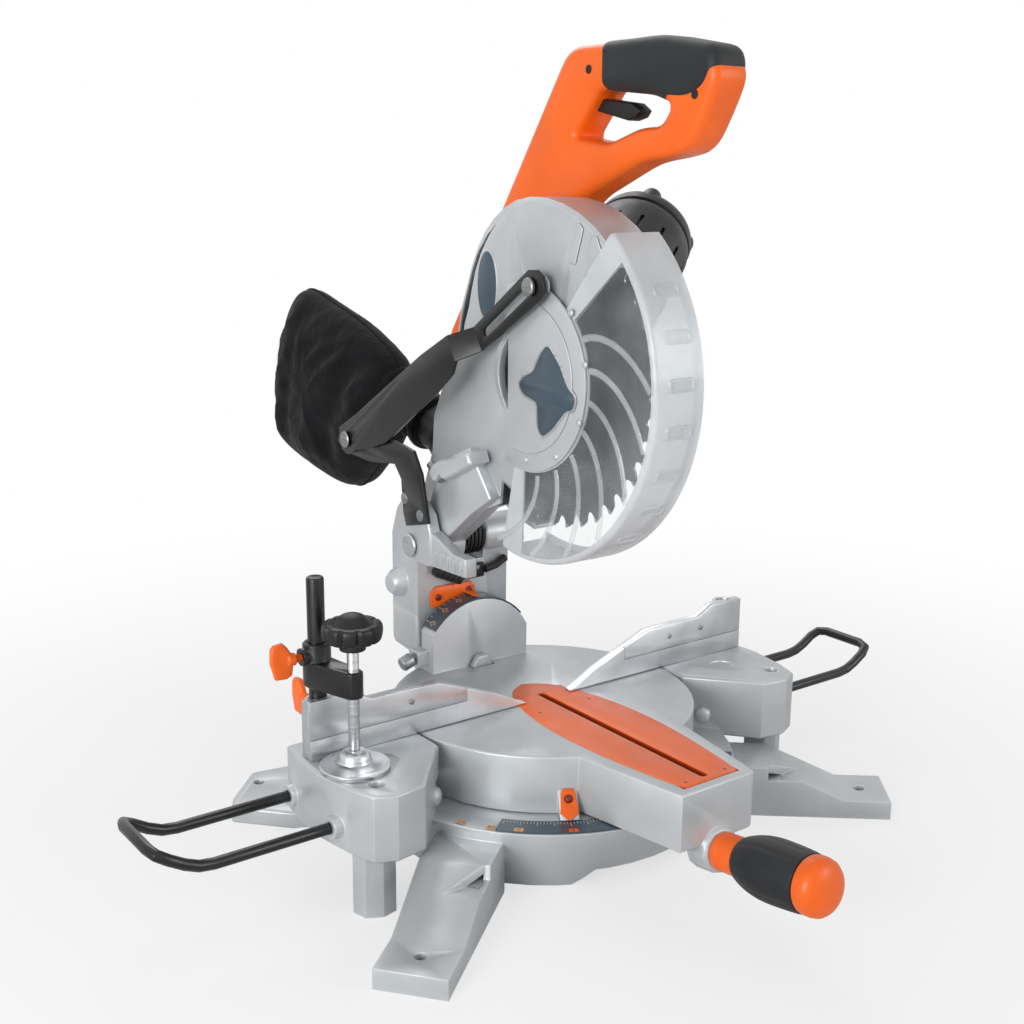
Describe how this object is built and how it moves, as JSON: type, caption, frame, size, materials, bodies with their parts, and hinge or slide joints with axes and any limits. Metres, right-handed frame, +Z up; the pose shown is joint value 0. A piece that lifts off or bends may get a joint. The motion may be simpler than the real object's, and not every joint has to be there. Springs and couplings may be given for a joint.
{
  "type": "compound mitre saw",
  "caption": "Compound mitre saw on a turning table: the head chops on a hinge, tilts to one side and carries a swinging clear guard, with a fence, clamp and side supports.",
  "frame": {"origin": "on the table's turning axis, in the plane of the bench under the feet", "axes": "+X to the operator's right, +Y to the back, +Z up; the machine stands at mitre 0, bevel 0 with the head raised"},
  "size_m": [0.763, 0.7851, 0.6481],
  "materials": {
    "cast_grey": "fine satin silver-grey paint over cast metal",
    "dial_blue": "matt dark blue-grey printed plate",
    "bolt_steel": "dark turned steel",
    "bright_steel": "bright ground and plated steel",
    "orange_plastic": "moulded orange, half gloss",
    "black_plastic": "fine grained black",
    "black_rubber": "soft matt black",
    "black_coated": "black coated steel",
    "black_cloth": "closely woven black cloth",
    "clear_plastic": "clear moulded guard, slightly frosted"
  },
  "bodies": {
    "base": {"base_casting": "cast_grey", "mitre_scale": "dial_blue", "fence_left": "cast_grey", "fence_right": "cast_grey", "fence_plate_left": "cast_grey", "fence_plate_right": "cast_grey", "mitre_pivot_bolt": "bolt_steel", "clamp_post": "black_coated"},
    "turntable": {"turntable": "cast_grey", "kerf_board": "orange_plastic", "mitre_pointer": "orange_plastic", "mitre_pointer_screw": "bolt_steel", "bevel_scale": "dial_blue", "bevel_stop_screw": "bolt_steel"},
    "lock_handle": {"lock_rod": "bolt_steel", "lock_collar": "orange_plastic", "lock_grip": "black_rubber", "lock_cap": "orange_plastic"},
    "tilt_arm": {"tilt_arm": "cast_grey", "bevel_pointer": "orange_plastic", "cord_clamp": "black_plastic", "cord_boot": "black_rubber", "head_lead": "black_rubber", "hinge_pin": "bright_steel", "torsion_spring": "black_coated", "link_bracket": "black_coated", "link_bracket_bolt_1": "bolt_steel", "link_bracket_bolt_2": "bolt_steel", "bevel_pivot_bolt": "bolt_steel", "link_rivet": "bolt_steel"},
    "bevel_lever": {"bevel_lock_lever": "black_plastic"},
    "lock_pin": {"head_lock_pin": "black_plastic"},
    "head": {"upper_guard": "cast_grey", "depth_stop_screw": "bolt_steel", "dust_port": "black_plastic", "dust_bag": "black_cloth", "gear_housing": "cast_grey", "motor_housing": "black_plastic", "motor_end_cap": "black_plastic", "handle": "orange_plastic", "handle_grip": "black_rubber"},
    "trigger": {"trigger": "black_plastic"},
    "blade": {"blade": "bright_steel", "arbor_shaft": "bolt_steel", "inner_flange": "bolt_steel", "outer_flange": "bolt_steel", "arbor_bolt": "bolt_steel"},
    "guard": {"lower_guard": "clear_plastic", "guard_hub_plate": "bright_steel"},
    "link": {"link_bar": "black_coated"},
    "link_pin": {"link_pin": "bolt_steel"},
    "post_screw": {"post_wing_screw": "orange_plastic"},
    "clamp_arm": {"clamp_arm": "black_coated"},
    "arm_screw": {"arm_wing_screw": "orange_plastic"},
    "clamp_pad": {"clamp_pad": "bright_steel"},
    "clamp_screw": {"clamp_rod": "bright_steel", "clamp_knob": "black_plastic"},
    "support_left": {"wire_support_left": "black_coated"},
    "support_right": {"wire_support_right": "black_coated"}
  },
  "joints": [
    {"name": "mitre_turn", "type": "hinge", "parent": "base", "child": "turntable", "pos_m": [0, 0, 0], "axis": [0, 0, 1], "range_deg": [-45, 45]},
    {"name": "lock_handle_turn", "type": "hinge", "parent": "turntable", "child": "lock_handle", "pos_m": [0, -0.224, 0.052], "axis": [0, -0.9914, 0.1309], "range_deg": [-180, 0]},
    {"name": "bevel_tilt", "type": "hinge", "parent": "turntable", "child": "tilt_arm", "pos_m": [0, 0.121, 0.105], "axis": [0, 1, 0], "range_deg": [-45, 0]},
    {"name": "bevel_lever_turn", "type": "hinge", "parent": "tilt_arm", "child": "bevel_lever", "pos_m": [0, 0.173, 0.105], "axis": [0, -1, 0], "range_deg": [0, 40]},
    {"name": "chop_swing", "type": "hinge", "parent": "tilt_arm", "child": "head", "pos_m": [0, 0.132, 0.219], "axis": [1, 0, 0], "range_deg": [0, 55], "stiffness_Nm_per_rad": 10, "springref_deg": -103.13},
    {"name": "guard_swing", "type": "hinge", "parent": "head", "child": "guard", "pos_m": [0, -0.009, 0.388], "axis": [1, 0, 0], "range_deg": [-133, 0]},
    {"name": "link_swing", "type": "hinge", "parent": "tilt_arm", "child": "link", "pos_m": [-0.0565, 0.234, 0.301], "axis": [1, 0, 0], "range_deg": [0, 50]},
    {"name": "link_pin_slide", "type": "slide", "parent": "link", "child": "link_pin", "axis": [0, 0.829, -0.5592], "range_m": [0, 0.049]},
    {"name": "blade_spin", "type": "hinge", "parent": "head", "child": "blade", "pos_m": [0, -0.009, 0.388], "axis": [1, 0, 0], "continuous": true},
    {"name": "trigger_pull", "type": "hinge", "parent": "head", "child": "trigger", "pos_m": [0.039, -0.014, 0.603], "axis": [-1, 0, 0], "range_deg": [0, 6], "stiffness_Nm_per_rad": 0.6, "springref_deg": -5.73},
    {"name": "lock_pin_slide", "type": "slide", "parent": "tilt_arm", "child": "lock_pin", "axis": [1, 0, 0], "range_m": [0, 0.01]},
    {"name": "post_screw_turn", "type": "hinge", "parent": "base", "child": "post_screw", "pos_m": [-0.2193, 0.0238, 0.144], "axis": [0, -1, 0], "range_deg": [-180, 180]},
    {"name": "clamp_arm_slide", "type": "slide", "parent": "base", "child": "clamp_arm", "axis": [0, 0, 1], "range_m": [0, 0.045]},
    {"name": "arm_screw_turn", "type": "hinge", "parent": "clamp_arm", "child": "arm_screw", "pos_m": [-0.24, 0.0017, 0.188], "axis": [1, 0, 0], "range_deg": [-180, 180]},
    {"name": "clamp_pad_lift", "type": "slide", "parent": "clamp_arm", "child": "clamp_pad", "axis": [0, 0, 1], "range_m": [0, 0.009]},
    {"name": "clamp_knob_turn", "type": "hinge", "parent": "clamp_pad", "child": "clamp_screw", "pos_m": [-0.21, -0.0375, 0.2], "axis": [0, 0, -1], "range_deg": [0, 1080]},
    {"name": "support_left_slide", "type": "slide", "parent": "base", "child": "support_left", "axis": [-1, 0, 0], "range_m": [-0.03, 0.02]},
    {"name": "support_right_slide", "type": "slide", "parent": "base", "child": "support_right", "axis": [1, 0, 0], "range_m": [-0.03, 0.02]}
  ],
  "couplings": [
    {"joint": "guard_swing", "follows": "chop_swing", "ratio": -2.4182},
    {"joint": "link_swing", "follows": "chop_swing", "ratio": 0.82827},
    {"joint": "link_pin_slide", "follows": "chop_swing", "m_per_rad": 0.048926},
    {"joint": "clamp_knob_turn", "follows": "clamp_pad_lift", "rad_per_m": 2094.4}
  ]
}
